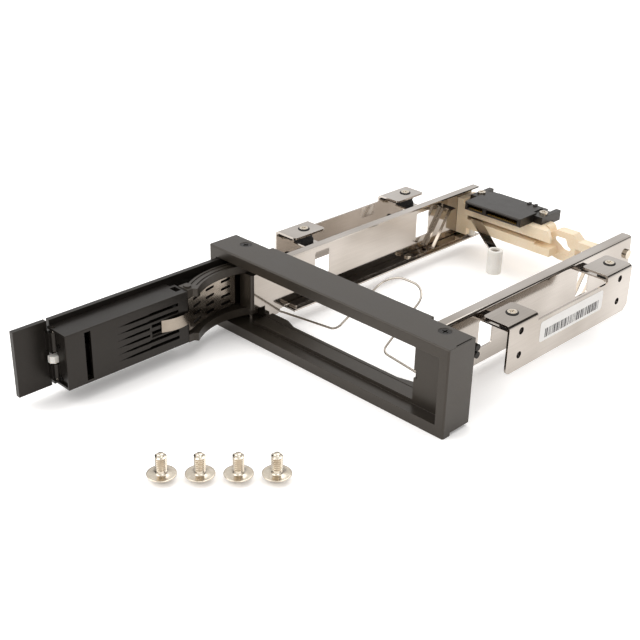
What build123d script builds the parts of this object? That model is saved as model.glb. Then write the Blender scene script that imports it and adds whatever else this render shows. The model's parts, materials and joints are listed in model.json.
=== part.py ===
from build123d import *
from math import acos, cos, degrees, radians, sin, sqrt
import os

# Hot swap drive cage: a 5.25 inch bay frame for one 3.5 inch drive, door standing open
os.makedirs("parts", exist_ok=True)

# The frame: X right along the bezel, Y towards the rear, Z up, origin at the bezel's front bottom centre.

# Bezel
bezel_width = 148.0
bezel_height = 42.0
bezel_depth = 17.0
flange_depth = 4.7
flange_step = 1.6
edge_radius = 0.8
side_rim = 4.7
opening_half = bezel_width / 2 - side_rim
opening_bottom = 5.2
opening_top = 36.9
recess_depth = 6.6
back_wall = 2.4
mouth_half = 51.2
mouth_floor = 7.1
end_wall = 2.6
tongue_depth = 19.2
tongue_half = 50.0
tongue_dip = 2.7
tongue_dip_left = -32.1
tongue_dip_right = 34.0
dip_slope_left = 7.0
dip_slope_right = 10.0
floor_line_y = 14.2
floor_line_width = 0.5
floor_line_depth = 0.3
top_screw_y = 12.4
top_screw_head_r = 2.8
top_screw_shank_r = 1.4
top_screw_sink = 0.2
hole_clearance = 0.1
face_gap = 0.15
part_gap = 0.3

# Door and its hinge
hinge_inset = 11.8
pivot_x = hinge_inset - opening_half
pivot_y = 11.5
door_open_angle = 90.0
panel_thickness = 2.8
panel_gap = 0.25
panel_left = 3.8 - opening_half
panel_right = opening_half - 2.3
handle_length = 16.3
handle_left = panel_right - handle_length
handle_gap = 1.3
block_left = -15.0
block_right = mouth_half - 0.6
block_bottom = 8.0
block_top = 34.2
block_face = 16.3
block_wall = 1.8
hinge_pin_r = 1.25
hinge_pin_bottom = 2.0
hinge_pin_top = 35.6
hinge_running_gap = 0.05
arm_bottom = 7.9
arm_height = 4.0
arm_width = 6.0
arm_eye_r = 3.4
arm_bulge = 39.0
arm_centre_u = 16.5
arm_foot_depth = 5.0
arm_foot_v = -2.0
arm_boss_r = 1.9
rib_depth = 0.5
rib_width = 0.7

# Grille, window and recess in the block's near face
grille_pitch = 3.32
grille_height = 1.5
grille_end = 48.1
grille_step = 64.0
grille_neck = 74.0
grille_tip = 83.0
grille_bar = 1.0
tab_recess = 1.0
tab_room = 0.4
window_u = 95.5
window_u_width = 3.2
window_margin = 1.5

# Perforated leaf spring
leaf_sheet = 0.4
leaf_bottom = 14.3
leaf_top = 30.5
leaf_path = ((8.2, -2.4), (21.3, -1.1), (42.5, 5.2))
leaf_tab_path = ((42.5, 5.2), (49.5, 6.2), (57.5, 4.1))
leaf_tab_half = 3.0
leaf_slot_length = 6.2
leaf_slot_height = 1.3
leaf_columns = (14.5, 25.6, 35.9)
leaf_first_row = 16.8
leaf_row_pitch = 3.93

# Handle and latch at the door's free end
handle_pin_u = 106.8
handle_pin_v = -6.0
handle_pin_r = 1.0
handle_hub_r = 1.6
hub_levels = ((10.0, 17.0), (23.0, 32.0))
end_recess = 1.2
end_rim = 1.1
lug_thickness = 1.6
latch_mid_z = 19.7
latch_half = 1.6
latch_v0 = -7.1
latch_v1 = -3.9
latch_slope = 1.4
latch_tail = 13.0
latch_reach = 2.0
latch_travel = 3.0
latch_room = 0.2
end_screw_v = -2.7
end_screw_levels = (10.9, 26.2)
end_screw_r = 0.8
end_screw_head_r = 1.1
end_screw_head_h = 0.5
end_screw_length = 6.5

# Rails
sheet = 0.8
rail_outer = mouth_half + sheet
rail_front = 8.2
nose_low = 5.0
nose_low_rear = 25.4
nose_corner = 1.8
rail_rear = 175.2
rail_top = 36.0
rail_bottom = 7.2
top_flange = 5.6
bottom_flange = 8.4
flange_front = 28.0
bend_radius = 1.2
window_width = 10.6
window_bottom = 16.0
lance_top = 31.0
front_window_y = 54.7
rear_window_y = 132.8
lance_past_screw = 2.5
lance_slit = 0.6
front_tab_reach = 13.6
front_tab_depth = 6.1
top_screw_x = rail_outer + 9.6
rail_screw_y = 48.0
rail_screw_r = 1.2
rail_screw_head_r = 1.7
rail_screw_head_h = 1.6
rail_screw_levels = (14.2, 18.0)

# Bay brackets
bay_half = 73.0
bracket_sheet = 1.0
bracket_front = 42.4
bracket_rear = 140.6
bracket_bottom = 13.6
bracket_top = 37.5
bracket_mid_top = 33.6
bracket_tab_width = 21.2
bay_hole_spacing_y = 79.25
bay_hole_spacing_z = 11.84
bay_hole_first_y = 51.3
bay_hole_low_z = 20.9
bay_hole_r = 1.7
bracket_corner = 3.0

# Rubber dampers and their screws
damper_setback = 8.0
damper_x = bay_half - damper_setback
damper_r = 5.0
damper_waist = 0.7
damper_bore_r = 1.6
damper_screw_r = 1.4
damper_head_r = 2.3
damper_head_h = 0.6
lance_reach = damper_x - rail_outer + lance_past_screw
bracket_tab_reach = damper_setback + 6.2

# Rear crossbar
bar_front = 163.0
bar_depth = 14.0
bar_slot_wall = 1.6
bar_screw_y = 172.0
bar_screw_depth = 3.6
bar_half = rail_outer - sheet - 0.1
bar_post = 7.2
post_top = 31.0
post_bottom = 10.4
upper_beam_top = 28.6
upper_beam_bottom = 22.4
lower_beam_top = 20.0
lower_beam_bottom = 14.6
beam_end = 12.0
beam_end_slope = 3.0
beam_end_lip = 1.2
wall_front = 170.6
wall_start = 2.0
bump_top = 27.9
waist_x = 6.6
waist_top = 25.2
bump_left = 11.5
bump_right = 20.7
bump_foot = 24.3
thin_beam_top = 24.8
thin_beam_bottom = 20.4
low_beam_top = 15.4
low_beam_bottom = 11.6
low_beam_start = 14.0
beam_gap_start = 23.0
nest_hole_top = 24.4
nest_hole_left = 8.2
nest_hole_right = 16.6
nest_hole_step = 20.2
bar_screw_r = 1.4
bar_screw_head_r = 2.5
bar_screw_head_h = 1.3

# Rear connector
connector_x = -22.4
connector_front = 156.0
connector_top = 33.4
nose_width = 37.4
nose_depth = 14.0
wing_width = 48.6
wing_depth = 11.5
horn_depth = 6.0
horn_width = 3.0
slot_height = 2.4
slot_depth = 6.0
connector_screw_span = 42.2
connector_screw_y = 174.2
connector_screw_r = 1.2
connector_head_r = 2.3
screw_pilot_r = 1.25
contact_pitch = 1.27
contact_width = 0.6
contact_end_room = 1.2

# Ejector
lever_x = -44.0
lever_y = 168.4
lever_rest_angle = -39.5
lever_swing = 28.8
lever_length = 54.0
lever_width = 5.0
lever_sheet = 1.2
lever_bottom = 20.6
shaft_r = 2.0
shaft_top = 25.0
bumper_r = 4.0
bumper_low = 9.8
bumper_high = 22.8
bumper_pin_r = 1.2
crank_radius = 5.2
crank_sheet = 0.9
crank_pin_r = 0.6
crank_pin_room = 0.4

# Slide link on the left rail's bottom flange
slide_width = 5.2
slide_sheet = 0.8
slide_front = 30.5
slide_travel = 2 * crank_radius * sin(radians(lever_swing / 2))
rivet_places = (58.0, 118.0)
rivet_r = 1.1
rivet_head_r = 2.0
rivet_head_h = 0.7

# Springs
prong_width = 1.8
prong_reach = 6.8
prong_sheet = 0.5
prong_top_y = bar_front - 14.0
prong_top_z = 28.5
prong_foot_y = 135.5
prong_foot_z = 9.6
wire_r = 0.55
wire_seat_x = 58.4
wire_seat_y = 14.0
wire_seat_z = 13.6
wire_low_y = 26.2
wire_low_z = 5.3
wire_arm_z = 8.2
wire_rise = 0.58

# Loose mounting screws
screw_thread_r = 2.2
screw_length = 8.6
screw_flange_r = 6.0
screw_flange_h = 1.0
screw_head_r = 4.0
screw_head_h = 2.6
loose_first_x = 16.8
loose_first_y = -101.8
loose_step_x = 10.2
loose_step_y = 10.9

# Worked out from the sizes above
door = Plane(
    origin=(pivot_x, pivot_y, 0),
    x_dir=(cos(radians(door_open_angle)), -sin(radians(door_open_angle)), 0),
    z_dir=(0, 0, 1),
)
door_front = -pivot_y
panel_back = door_front + panel_thickness
block_back = panel_back
block_near = door_front + block_face
block_u0 = block_left - pivot_x
block_u1 = block_right - pivot_x
block_mid_z = (block_bottom + block_top) / 2
panel_u0 = panel_left - pivot_x
panel_u1 = handle_left - handle_gap - pivot_x
handle_u0 = handle_left - pivot_x
handle_u1 = panel_right - pivot_x
panel_z0 = opening_bottom + panel_gap
panel_z1 = opening_top - panel_gap
flange_level = rail_bottom + sheet
rail_inner = rail_outer - sheet
slide_x = -rail_inner + slide_width / 2 + 2 * part_gap
arm_centre_v = sqrt(arm_bulge ** 2 - arm_centre_u ** 2)
upper_arm_bottom = block_top + 0.4 - arm_height
crossbar_screw_levels = (lower_beam_bottom - 1.2, post_top - 4.2)
end_face = block_u1 - end_recess
notch_u0 = handle_pin_u - handle_hub_r - part_gap
notch_v = handle_pin_v + handle_hub_r + part_gap


def slab(a0, a1, b0, b1, c0, c1, base=Plane.XY, radius=0, mode=Mode.ADD):
    """A box between two values, in either order, on each axis; corners rounded in plan."""
    with BuildSketch(base.offset(c0)) as outline:
        with Locations(((a0 + a1) / 2, (b0 + b1) / 2)):
            if radius:
                RectangleRounded(abs(a1 - a0), abs(b1 - b0), radius)
            else:
                Rectangle(abs(a1 - a0), abs(b1 - b0))
    extrude(outline.sketch, amount=c1 - c0, mode=mode)


def rod(x, y, z0, z1, radius, base=Plane.XY, mode=Mode.ADD):
    """A round bar or bore along the base plane's normal."""
    with BuildSketch(base.offset(z0)) as outline:
        with Locations((x, y)):
            Circle(radius)
    extrude(outline.sketch, amount=z1 - z0, mode=mode)


def keep(part, name):
    part.label = name
    export_step(part, f"parts/{name}.step")


# Bezel frame: outer block, stepped flange, recess, drive mouth, hinge pocket, hollow right end
pocket_right = -mouth_half - 8.5
pocket_rear = bezel_depth - 1.3
relief_left = opening_half + 3.0
arm_slot_top = 30.4
arm_slot_bottom = 12.2
with BuildPart() as bezel_frame:
    slab(-bezel_width / 2, bezel_width / 2, 0, bezel_depth, 0, bezel_height)
    slab(-tongue_half, tongue_half, bezel_depth, tongue_depth, flange_step, bezel_height)
    slab(-bezel_width, bezel_width, flange_depth, bezel_width, -1, flange_step, mode=Mode.SUBTRACT)
    front_edges = bezel_frame.edges().filter_by_position(Axis.Y, -0.01, 0.01)
    fillet([e for e in front_edges if e.center().Z > flange_step], edge_radius)
    slab(-opening_half, opening_half, -1, recess_depth, opening_bottom, opening_top, mode=Mode.SUBTRACT)
    slab(-mouth_half, mouth_half, 0, 2 * tongue_depth, mouth_floor, opening_top, mode=Mode.SUBTRACT)
    # the pocket that the hinge arms and the door's edge swing in
    slab(-relief_left, pocket_right, flange_depth - 1.5, pocket_rear, opening_bottom, opening_top,
         mode=Mode.SUBTRACT)
    slab(-relief_left, pivot_x + panel_back + part_gap, flange_depth - 1.5, bezel_width, opening_bottom,
         opening_top, mode=Mode.SUBTRACT)
    for slot_low, slot_high in ((opening_bottom, arm_slot_bottom), (arm_slot_top, opening_top)):
        slab(pocket_right - 1, -mouth_half + 1, recess_depth - 1, pocket_rear,
             slot_low, slot_high, mode=Mode.SUBTRACT)
    wall_corner = (
        bezel_frame.edges().filter_by(Axis.Z)
        .filter_by_position(Axis.Y, recess_depth - 0.01, recess_depth + 0.01)
        .filter_by_position(Axis.X, -mouth_half - 0.01, -mouth_half + 0.01)
    )
    fillet(wall_corner, 1.5)
    # hollow behind the recess at the right, with a way in for the rail's front tab
    slab(-pocket_right, bezel_width / 2 - end_wall, recess_depth + back_wall, bezel_width,
         mouth_floor, opening_top, mode=Mode.SUBTRACT)
    slab(mouth_half, -pocket_right + 1, recess_depth + back_wall, bezel_width,
         opening_top - 1.4, opening_top, mode=Mode.SUBTRACT)
    # seats of the wire spring's ends
    for side in (-1, 1):
        rod(side * wire_seat_x, wire_seat_z, -bezel_depth - 1, -wire_seat_y, wire_r + 0.05,
            base=Plane.XZ, mode=Mode.SUBTRACT)
    # strike notch for the door's latch
    slab(0, block_right + latch_reach + part_gap, recess_depth - 1, pivot_y + latch_v1 + part_gap,
         latch_mid_z - latch_half - part_gap, latch_mid_z + latch_half + part_gap, mode=Mode.SUBTRACT)
    # hinge pin bore through the wall between the arms
    rod(pivot_x, pivot_y, 0, bezel_height - 2, hinge_pin_r + hinge_running_gap, mode=Mode.SUBTRACT)
    for side in (-1, 1):
        # seat for the rail's front end and its folded tab
        slab(side * (rail_inner - hole_clearance), side * (rail_outer + hole_clearance),
             rail_front - hole_clearance, bezel_width, mouth_floor, opening_top, mode=Mode.SUBTRACT)
        with Locations((side * top_screw_x, top_screw_y, bezel_height)):
            CounterSinkHole(top_screw_shank_r + hole_clearance,
                            top_screw_head_r + top_screw_sink + hole_clearance,
                            bezel_height - opening_top + 1, 90)
        slab(side * (rail_inner - 4 * part_gap), side * (rail_outer + 2 * part_gap), bezel_depth,
             bezel_width, flange_step, bezel_height, mode=Mode.SUBTRACT)
    # dip in the rear edge of the floor tongue
    with BuildSketch(Plane.XY.offset(flange_step - 1)):
        with BuildLine():
            Polyline(
                (tongue_dip_left - dip_slope_left, tongue_depth + 0.01),
                (tongue_dip_left, tongue_depth - tongue_dip),
                (tongue_dip_right, tongue_depth - tongue_dip),
                (tongue_dip_right + dip_slope_right, tongue_depth + 0.01), close=True)
        make_face()
    extrude(amount=mouth_floor - flange_step + 2, mode=Mode.SUBTRACT)
    # one fine line along the floor, in front of the tongue
    slab(-mouth_half + 2, mouth_half, floor_line_y, floor_line_y + floor_line_width,
         mouth_floor - floor_line_depth, mouth_floor + 1, mode=Mode.SUBTRACT)
    # slit along the top of the right end
    slab(bezel_width / 2 - 1.0, bezel_width / 2 - 0.4, 5.2, 15.2, bezel_height - 0.5, bezel_height + 1,
         mode=Mode.SUBTRACT)
keep(bezel_frame.part, "bezel_frame")

# Two countersunk screws that hold the rails' front tabs to the bezel
with BuildPart() as bezel_screws:
    for side in (-1, 1):
        with BuildSketch(Plane(origin=(side * top_screw_x, top_screw_y, 0), x_dir=(1, 0, 0),
                               z_dir=(0, -1, 0))) as screw_half:
            with BuildLine():
                Polyline(
                    (0, rail_top + 0.1), (top_screw_shank_r, rail_top + 0.1),
                    (top_screw_shank_r, bezel_height - top_screw_sink - top_screw_head_r + top_screw_shank_r),
                    (top_screw_head_r, bezel_height - top_screw_sink),
                    (0, bezel_height - top_screw_sink), close=True)
            make_face()
        revolve(screw_half.sketch,
                axis=Axis((side * top_screw_x, top_screw_y, 0), (0, 0, 1)))
        for turn in (0, 90):
            with BuildSketch(Plane.XY.offset(bezel_height - 1.0)) as cross:
                with Locations((side * top_screw_x, top_screw_y)):
                    Rectangle(3.0, 0.7, rotation=turn)
            extrude(cross.sketch, amount=2, mode=Mode.SUBTRACT)
keep(bezel_screws.part, "bezel_screws")


def rail(side):
    """A folded channel: web, two inward flanges, windows, lanced tabs and a front screw tab."""
    web_x = side * (rail_outer - sheet / 2)
    with BuildPart() as channel:
        with BuildSketch(Plane.XZ.offset(-flange_front)) as section:
            with BuildLine():
                FilletPolyline(
                    (side * (rail_outer - bottom_flange), rail_bottom + sheet / 2),
                    (web_x, rail_bottom + sheet / 2),
                    (web_x, rail_top - sheet / 2),
                    (side * (rail_outer - top_flange), rail_top - sheet / 2),
                    radius=bend_radius)
            trace(line_width=sheet)
        extrude(section.sketch, amount=-(rail_rear - flange_front))
        # the web and top flange run on into the bezel
        slab(side * rail_inner, side * rail_outer, rail_front, flange_front, mouth_floor + hole_clearance,
             rail_top - bend_radius)
        slab(bezel_depth + part_gap, nose_low_rear, nose_low, mouth_floor + bend_radius,
             side * rail_inner, side * rail_outer, base=Plane.YZ)
        fillet(channel.edges().filter_by(Axis.X).filter_by_position(
            Axis.Z, nose_low - 0.01, nose_low + 0.01).sort_by(Axis.Y)[-1], nose_corner)
        with BuildSketch(Plane.XZ.offset(-(tongue_depth + 0.4))) as top_section:
            with BuildLine():
                FilletPolyline(
                    (web_x, window_bottom), (web_x, rail_top - sheet / 2),
                    (side * (rail_outer - top_flange), rail_top - sheet / 2), radius=bend_radius)
            trace(line_width=sheet)
        extrude(top_section.sketch, amount=-(flange_front - tongue_depth - 0.4))
        # front tab folded outwards under the bezel's top wall
        tab_top = opening_top - 0.05
        slab(side * rail_inner, side * rail_outer, rail_front, tongue_depth + 1.4,
             rail_top - bend_radius, tab_top)
        tab_front = recess_depth + back_wall + part_gap
        slab(side * rail_outer, side * (rail_outer + front_tab_reach), tab_front,
             tab_front + front_tab_depth, tab_top - sheet, tab_top)
        rod(side * top_screw_x, top_screw_y, tab_top - 2, tab_top + 1,
            top_screw_shank_r + hole_clearance / 2, mode=Mode.SUBTRACT)
        for window_y in (front_window_y, rear_window_y):
            slab(window_y - window_width / 2, window_y + window_width / 2, window_bottom,
                 lance_top - sheet, web_x - sheet, web_x + sheet, base=Plane.YZ, radius=1.2,
                 mode=Mode.SUBTRACT)
            slab(side * rail_outer, side * (rail_outer + lance_reach),
                 window_y - window_width / 2 + lance_slit, window_y + window_width / 2 - lance_slit,
                 lance_top - sheet, lance_top)
            rod(side * damper_x, window_y, lance_top - 2, lance_top + 1,
                damper_screw_r + hole_clearance, mode=Mode.SUBTRACT)
        for screw_z in crossbar_screw_levels:
            rod(bar_screw_y, screw_z, web_x - 1, web_x + 1, bar_screw_r + hole_clearance,
                base=Plane.YZ, mode=Mode.SUBTRACT)
        for screw_z in rail_screw_levels:
            rod(rail_screw_y, screw_z, web_x - 1, web_x + 1, rail_screw_r, base=Plane.YZ,
                mode=Mode.SUBTRACT)
    return channel.part


left_channel = rail(-1)
right_channel = rail(1)
with BuildPart() as left_rail:
    add(left_channel)
    # guide rivet holes for the slide link
    for rivet_y in rivet_places:
        rod(slide_x, rivet_y, rail_bottom - 1, flange_level + 1, rivet_r,
            mode=Mode.SUBTRACT)
    # cut away in front of the hinge arms, the lower one down to the mouth's floor
    for cut_bottom, arm_level in ((min(arm_bottom - part_gap, mouth_floor), arm_bottom),
                                  (upper_arm_bottom - part_gap, upper_arm_bottom)):
        slab(-rail_outer - 1, -rail_inner + 1, 0, pivot_y + arm_eye_r + part_gap,
             cut_bottom, arm_level + arm_height + part_gap, mode=Mode.SUBTRACT)
keep(left_rail.part, "left_rail")
keep(right_channel, "right_rail")


def bracket(side):
    """A bay plate with two tabs folded inwards over the dampers and four screw holes."""
    plate_x = side * (bay_half - bracket_sheet / 2)
    with BuildPart() as plate:
        with BuildSketch(Plane.XZ.offset(-bracket_front)) as section:
            with BuildLine():
                FilletPolyline(
                    (plate_x, bracket_bottom), (plate_x, bracket_top - bracket_sheet / 2),
                    (plate_x - side * bracket_tab_reach, bracket_top - bracket_sheet / 2),
                    radius=bend_radius + bracket_sheet / 2)
            trace(line_width=bracket_sheet)
        extrude(section.sketch, amount=-(bracket_rear - bracket_front))
        # between the tabs the plate is lower and the fold is cut away
        slab(0, side * 2 * bay_half, bracket_front + bracket_tab_width, bracket_rear - bracket_tab_width,
             bracket_mid_top, bracket_top + 1, mode=Mode.SUBTRACT)
        tab_corners = (
            plate.edges().filter_by(Axis.Z)
            .filter_by(lambda e: abs(abs(e.center().X) - (abs(plate_x) - bracket_tab_reach)) < 0.05)
        )
        fillet(tab_corners, 1.8)
        low_corners = plate.edges().filter_by(Axis.X).filter_by_position(
            Axis.Z, bracket_bottom - 0.01, bracket_bottom + 0.01)
        fillet(low_corners.sort_by(Axis.Y)[0], bracket_corner)
        chamfer(plate.edges().filter_by(Axis.X).filter_by_position(
            Axis.Z, bracket_bottom - 0.01, bracket_bottom + 0.01).sort_by(Axis.Y)[-1], bracket_corner)
        for row in (0, 1):
            for column in (0, 1):
                rod(bay_hole_first_y + column * bay_hole_spacing_y,
                    bay_hole_low_z + row * bay_hole_spacing_z,
                    plate_x - bracket_sheet, plate_x + bracket_sheet, bay_hole_r, base=Plane.YZ,
                    mode=Mode.SUBTRACT)
        for damper_y in (front_window_y, rear_window_y):
            rod(side * damper_x, damper_y, bracket_top - 2 * bracket_sheet, bracket_top + 1,
                damper_screw_r + hole_clearance, mode=Mode.SUBTRACT)
    return plate.part


for side_name, side in (("left", -1), ("right", 1)):
    keep(bracket(side), f"{side_name}_bracket")

    # rubber dampers: a waisted sleeve standing on each lanced tab of the rail
    with BuildPart() as dampers:
        for damper_y in (front_window_y, rear_window_y):
            damper_top = bracket_top - bracket_sheet
            damper_mid = (lance_top + damper_top) / 2
            with BuildSketch(Plane(origin=(side * damper_x, damper_y, 0), x_dir=(1, 0, 0),
                                   z_dir=(0, -1, 0))) as half:
                with BuildLine():
                    Line((damper_bore_r, lance_top), (damper_r, lance_top))
                    Line((damper_r, lance_top), (damper_r, lance_top + 1.2))
                    ThreePointArc((damper_r, lance_top + 1.2), (damper_r - damper_waist, damper_mid),
                                  (damper_r, damper_top - 1.2))
                    Line((damper_r, damper_top - 1.2), (damper_r, damper_top))
                    Line((damper_r, damper_top), (damper_bore_r, damper_top))
                    Line((damper_bore_r, damper_top), (damper_bore_r, lance_top))
                make_face()
            revolve(half.sketch, axis=Axis((side * damper_x, damper_y, 0), (0, 0, 1)))
    keep(dampers.part, f"{side_name}_dampers")

# Screws through the bracket tabs and dampers, with a nut thread below each lanced tab
with BuildPart() as damper_screws:
    for side in (-1, 1):
        for damper_y in (front_window_y, rear_window_y):
            rod(side * damper_x, damper_y, lance_top - sheet - 1.5, bracket_top, damper_screw_r)
            rod(side * damper_x, damper_y, bracket_top, bracket_top + damper_head_h, damper_head_r)
            rod(side * damper_x, damper_y, lance_top - sheet - 1.8, lance_top - sheet,
                damper_head_r - 0.3)
            with BuildSketch(Plane.XY.offset(bracket_top + damper_head_h / 2)) as cross:
                with Locations((side * damper_x, damper_y)):
                    Rectangle(2.8, 0.7)
                    Rectangle(0.7, 2.8)
            extrude(cross.sketch, amount=damper_head_h, mode=Mode.SUBTRACT)
keep(damper_screws.part, "damper_screws")

# Short black screws low on each rail
with BuildPart() as rail_screws:
    for side in (-1, 1):
        for screw_z in rail_screw_levels:
            outer = side * rail_outer
            inner = side * rail_inner
            rod(rail_screw_y, screw_z, inner, outer, rail_screw_r, base=Plane.YZ)
            rod(rail_screw_y, screw_z, outer, outer + side * rail_screw_head_h, rail_screw_head_r,
                base=Plane.YZ)
keep(rail_screws.part, "rail_screws")

# Rear crossbar: moulding with end posts, two beams, the lever's slot and the bumper's nest
bar_rear = bar_front + bar_depth
post_inner = bar_half - bar_post
with BuildPart() as rear_crossbar:
    # end posts and the two beams left of the nest
    for side in (-1, 1):
        slab(side * bar_half, side * post_inner, bar_front, bar_rear, post_bottom, post_top)
    slab(-post_inner, beam_end, bar_front, bar_rear, lower_beam_bottom, upper_beam_top)
    chamfer(rear_crossbar.edges().filter_by(Axis.Y).filter_by_position(
        Axis.X, beam_end - 0.01, beam_end + 0.01).sort_by(Axis.Z)[-1], beam_end_slope)
    # the upper beam's end is cut back behind its front edge
    with BuildSketch(Plane.XY.offset(lower_beam_top)) as undercut:
        with BuildLine():
            Polyline((beam_end + 1, bar_front + beam_end_lip), (beam_end, bar_front + beam_end_lip),
                     (wall_start, wall_front), (beam_end + 1, wall_front), close=True)
        make_face()
    extrude(undercut.sketch, amount=bezel_height, mode=Mode.SUBTRACT)
    # slot that the lever swings in, round its eye and out of the front
    slab(-post_inner, beam_end + 1, bar_front - 1, bar_rear - bar_slot_wall, lower_beam_top,
         upper_beam_bottom, mode=Mode.SUBTRACT)
    rod(lever_x, lever_y, lower_beam_top, upper_beam_bottom, lever_width / 2 + 1.6, mode=Mode.SUBTRACT)
    rod(lever_x, lever_y, 0, shaft_top + 0.3, shaft_r + hinge_running_gap, mode=Mode.SUBTRACT)
    # the nest: the beams end here and a curved rear wall runs on round the opening
    slab(wall_start, beam_end + 1, bar_front - 1, wall_front, lower_beam_top - 1, upper_beam_bottom,
         mode=Mode.SUBTRACT)
    slab(wall_start, beam_end + 1, wall_front, bar_rear + 1, 0, bezel_height, mode=Mode.SUBTRACT)
    with BuildSketch(Plane.XZ.offset(-wall_front)) as wall:
        with BuildLine():
            Polyline((wall_start - 2, lower_beam_bottom), (wall_start - 2, upper_beam_top),
                     (wall_start + 1, upper_beam_top))
            Spline((wall_start + 1, upper_beam_top), (waist_x, waist_top), (bump_left, bump_top),
                   tangents=((1, 0), (1, 0.2)))
            Polyline((bump_left, bump_top), (bump_right, bump_top), (bump_foot, thin_beam_top),
                     (post_inner + 1, thin_beam_top), (post_inner + 1, low_beam_bottom),
                     (low_beam_start, low_beam_bottom))
            Spline((low_beam_start, low_beam_bottom), (nest_hole_left, low_beam_bottom + 1.2),
                   (wall_start - 2, lower_beam_bottom), tangents=((-1, 0), (-1, 0.4)))
        make_face()
        # opening behind the nest and the gap between the two thin beams
        with BuildLine():
            Polyline((nest_hole_left, nest_hole_top - 1.2), (nest_hole_left + 2.3, nest_hole_top),
                     (nest_hole_right, nest_hole_top), (nest_hole_right + 1.6, nest_hole_top - 3.6),
                     (nest_hole_step, nest_hole_top - 4.8), (nest_hole_step - 0.8, low_beam_top),
                     (low_beam_start, low_beam_top))
            Spline((low_beam_start, low_beam_top), (nest_hole_left + 2.0, low_beam_top + 2.0),
                   (waist_x, lower_beam_top + 0.2), (nest_hole_left, nest_hole_top - 1.2),
                   tangents=((-1, 0.1), (0.4, 1)))
        make_face(mode=Mode.SUBTRACT)
        with Locations(((beam_gap_start + post_inner) / 2, (thin_beam_bottom + low_beam_top) / 2)):
            Rectangle(post_inner - beam_gap_start, thin_beam_bottom - low_beam_top, mode=Mode.SUBTRACT)
    extrude(wall.sketch, amount=-(bar_rear - wall_front))
    # seat of the connector's wings
    slab(connector_x - wing_width / 2 - part_gap, connector_x, bar_front - 1, bar_rear + 1,
         upper_beam_top, post_top + 1, mode=Mode.SUBTRACT)
    # bosses behind the beam that carry the connector's screws
    for screw_side in (-1, 1):
        rod(connector_x + screw_side * connector_screw_span / 2, connector_screw_y,
            upper_beam_bottom, upper_beam_top, 3.4)
        rod(connector_x + screw_side * connector_screw_span / 2, connector_screw_y,
            upper_beam_bottom + 1, upper_beam_top + 1, screw_pilot_r, mode=Mode.SUBTRACT)
    for side in (-1, 1):
        for screw_z in crossbar_screw_levels:
            rod(bar_screw_y, screw_z, side * (bar_half - bar_screw_depth - 0.5), side * (bar_half + 1),
                bar_screw_r + hole_clearance, base=Plane.YZ, mode=Mode.SUBTRACT)
keep(rear_crossbar.part, "rear_crossbar")

# Screws through the rails into the crossbar's ends
with BuildPart() as crossbar_screws:
    for side in (-1, 1):
        for screw_z in crossbar_screw_levels:
            rod(bar_screw_y, screw_z, side * (bar_half - bar_screw_depth), side * rail_outer,
                bar_screw_r, base=Plane.YZ)
            rod(bar_screw_y, screw_z, side * rail_outer, side * (rail_outer + bar_screw_head_h),
                bar_screw_head_r, base=Plane.YZ)
keep(crossbar_screws.part, "crossbar_screws")

# Rear connector: nose with two slots to the front, wings for the screws, plug side to the rear
connector_base = upper_beam_top
nose_rear = connector_front + nose_depth
wing_rear = connector_screw_y + wing_depth / 2
data_slot = 10.6
power_slot = 20.8
slot_rib = 2.2
slot_left = connector_x - (data_slot + slot_rib + power_slot) / 2
slot_floor = connector_base + (connector_top - connector_base - slot_height) / 2
connector_slots = (
    (slot_left, slot_left + data_slot),
    (slot_left + data_slot + slot_rib, slot_left + data_slot + slot_rib + power_slot),
)
with BuildPart() as connector_body:
    slab(connector_x - nose_width / 2, connector_x + nose_width / 2, connector_front, nose_rear + 1,
         connector_base, connector_top)
    chamfer(connector_body.edges().filter_by_position(
        Axis.Y, connector_front - 0.01, connector_front + 0.01), 0.5)
    slab(connector_x - wing_width / 2, connector_x + wing_width / 2, connector_screw_y - wing_depth / 2,
         wing_rear, connector_base, connector_top - 0.8)
    slab(connector_x - nose_width / 2 + 2, connector_x + nose_width / 2 - 2, nose_rear, wing_rear,
         connector_base, connector_top)
    # guide horns and contact tongue of the plug side
    for horn in (-1, 1):
        horn_x = connector_x + horn * (wing_width / 2 - horn_width / 2)
        slab(horn_x - horn_width / 2, horn_x + horn_width / 2, wing_rear, wing_rear + horn_depth,
             connector_base - 1.6, connector_top - 0.8)
        slab(horn_x - horn_width / 2, horn_x + horn_width / 2, wing_rear - 1, wing_rear,
             connector_base - 1.6, connector_base)
    slab(slot_left, slot_left + data_slot + slot_rib + power_slot, wing_rear,
         wing_rear + horn_depth - 1, slot_floor + 0.4, slot_floor + 1.6)
    for nub_x in (connector_x + 8.0, connector_x + 12.0):
        slab(nub_x - 0.7, nub_x + 0.7, wing_rear - 2, wing_rear + 0.8, connector_top - 0.8,
             connector_top + 0.7)
    for slot_x0, slot_x1 in connector_slots:
        slab(slot_x0, slot_x1, connector_front - 1, connector_front + slot_depth, slot_floor,
             slot_floor + slot_height, mode=Mode.SUBTRACT)
    for screw_side in (-1, 1):
        screw_x = connector_x + screw_side * connector_screw_span / 2
        rod(screw_x, connector_screw_y, connector_base - 1, connector_top + 1,
            connector_screw_r + hole_clearance, mode=Mode.SUBTRACT)
keep(connector_body.part, "connector_body")

with BuildPart() as connector_contacts:
    for slot_x0, slot_x1 in connector_slots:
        count = int((slot_x1 - slot_x0 - 2 * contact_end_room) / contact_pitch) + 1
        first = (slot_x0 + slot_x1 - (count - 1) * contact_pitch) / 2
        for contact in range(count):
            contact_x = first + contact * contact_pitch
            slab(contact_x - contact_width / 2, contact_x + contact_width / 2, connector_front + 0.8,
                 connector_front + slot_depth, slot_floor, slot_floor + 0.35)
keep(connector_contacts.part, "connector_contacts")

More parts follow.
